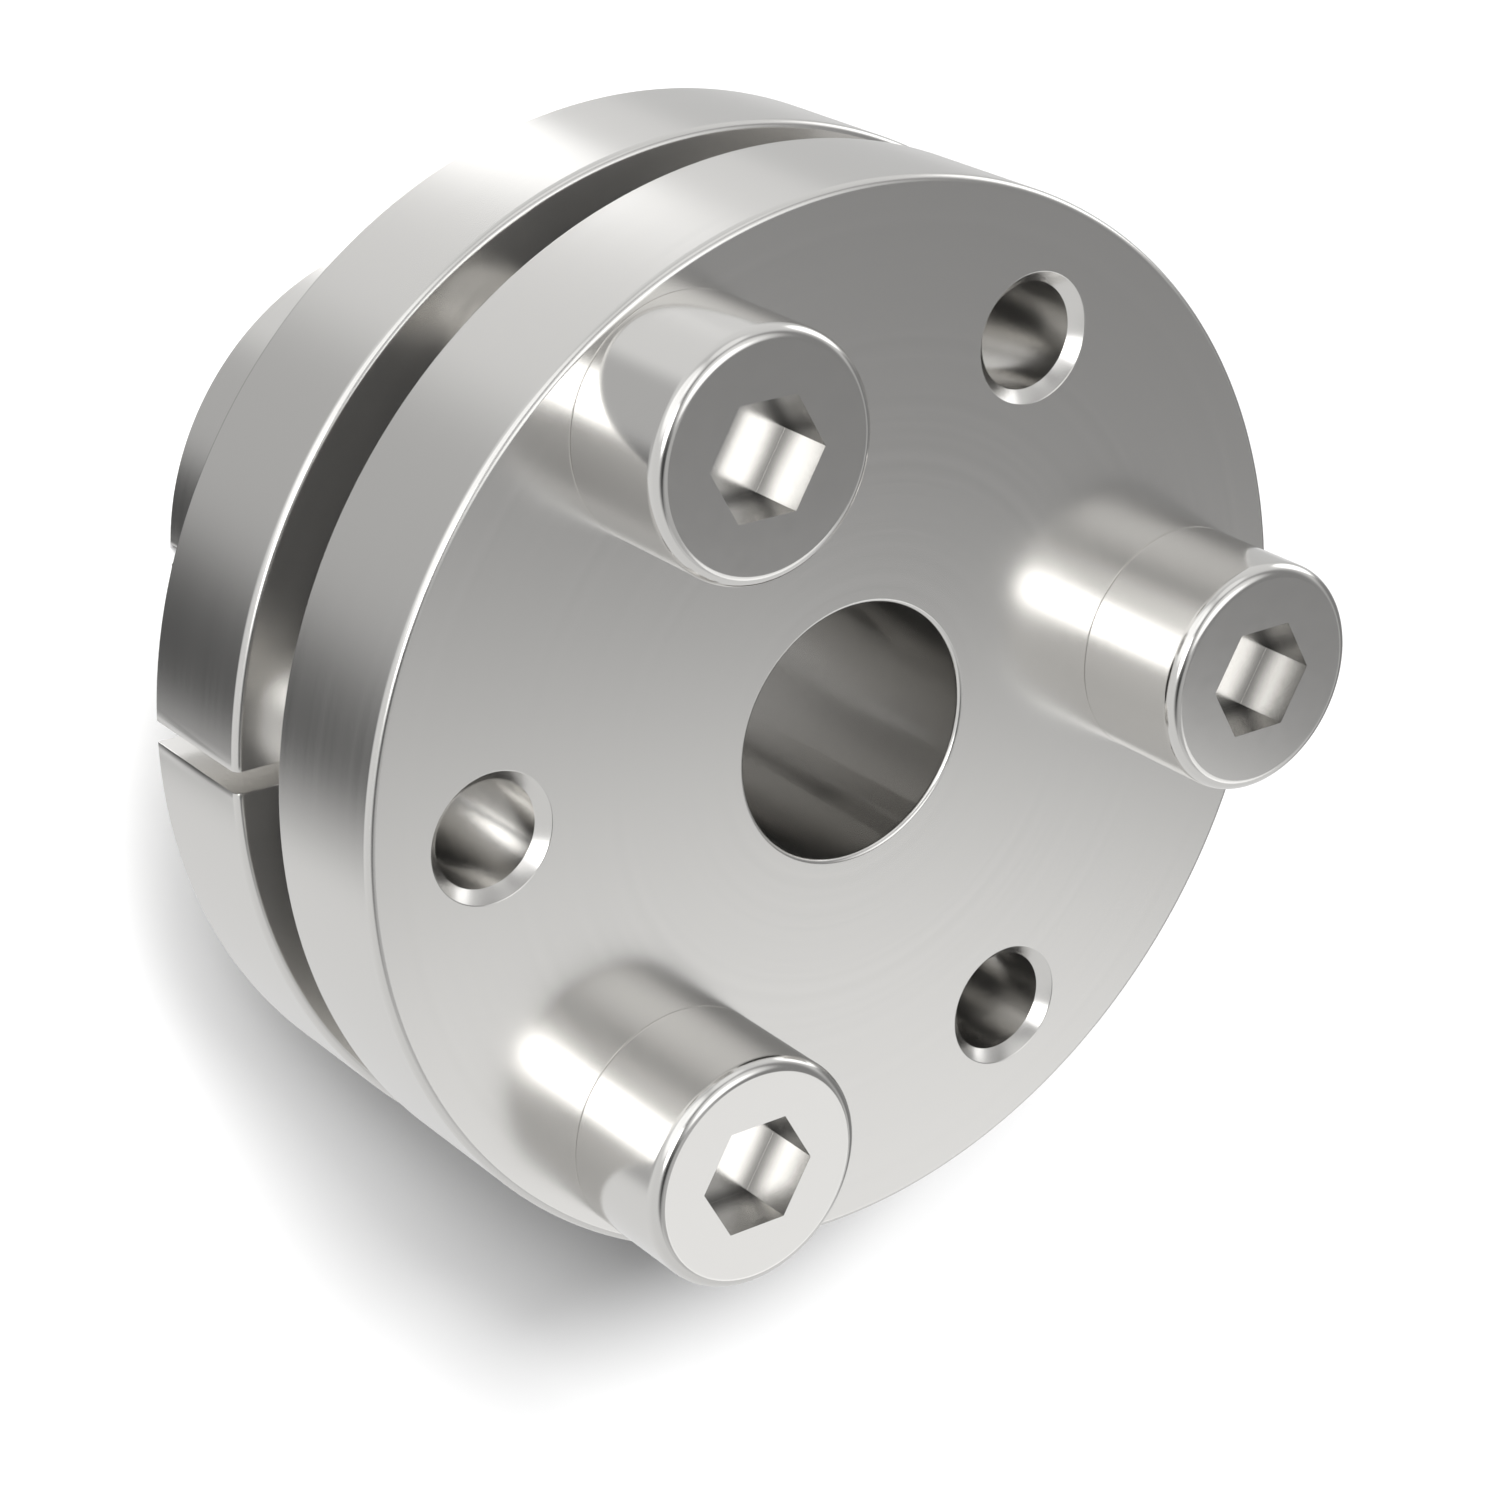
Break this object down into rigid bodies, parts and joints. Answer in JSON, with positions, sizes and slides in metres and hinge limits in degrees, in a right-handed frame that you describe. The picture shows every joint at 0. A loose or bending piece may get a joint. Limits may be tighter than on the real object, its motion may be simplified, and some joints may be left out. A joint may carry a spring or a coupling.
{
  "type": "shaft locking assembly",
  "caption": "Flanged keyless shaft clamp: cap screws draw a slotted cone into a slit tapered sleeve, gripping the shaft inside and the hub outside.",
  "frame": {"origin": "on the common axis, at the free end of the sleeve, which the assembly stands on", "axes": "+Z along the common axis, from the sleeve's free end out of the screw heads; +X from the axis through the first clamp screw; the outer ring's slit lies on -X"},
  "size_m": [0.025, 0.025, 0.0215],
  "materials": {
    "ring_steel": "fine-turned satin stainless steel",
    "screw_steel": "semi-polished stainless steel"
  },
  "bodies": {
    "outer_ring": {"outer_slit_ring": "ring_steel"},
    "inner_ring": {"inner_taper_ring": "ring_steel"},
    "screw_1": {"clamp_screw_1": "screw_steel"},
    "screw_2": {"clamp_screw_2": "screw_steel"},
    "screw_3": {"clamp_screw_3": "screw_steel"}
  },
  "joints": [
    {"name": "taper_draw", "type": "slide", "parent": "outer_ring", "child": "inner_ring", "axis": [0, 0, 1], "range_m": [0, 0.001]},
    {"name": "screw_1_turn", "type": "hinge", "parent": "inner_ring", "child": "screw_1", "pos_m": [0.0095, 0, 0.0185], "axis": [0, 0, 1], "range_deg": [0, 720]},
    {"name": "screw_2_turn", "type": "hinge", "parent": "inner_ring", "child": "screw_2", "pos_m": [-0.00475, 0.00823, 0.0185], "axis": [0, 0, 1], "range_deg": [0, 720]},
    {"name": "screw_3_turn", "type": "hinge", "parent": "inner_ring", "child": "screw_3", "pos_m": [-0.00475, -0.00823, 0.0185], "axis": [0, 0, 1], "range_deg": [0, 720]}
  ],
  "couplings": [
    {"joint": "screw_1_turn", "follows": "taper_draw", "rad_per_m": 12566},
    {"joint": "screw_2_turn", "follows": "taper_draw", "rad_per_m": 12566},
    {"joint": "screw_3_turn", "follows": "taper_draw", "rad_per_m": 12566}
  ]
}
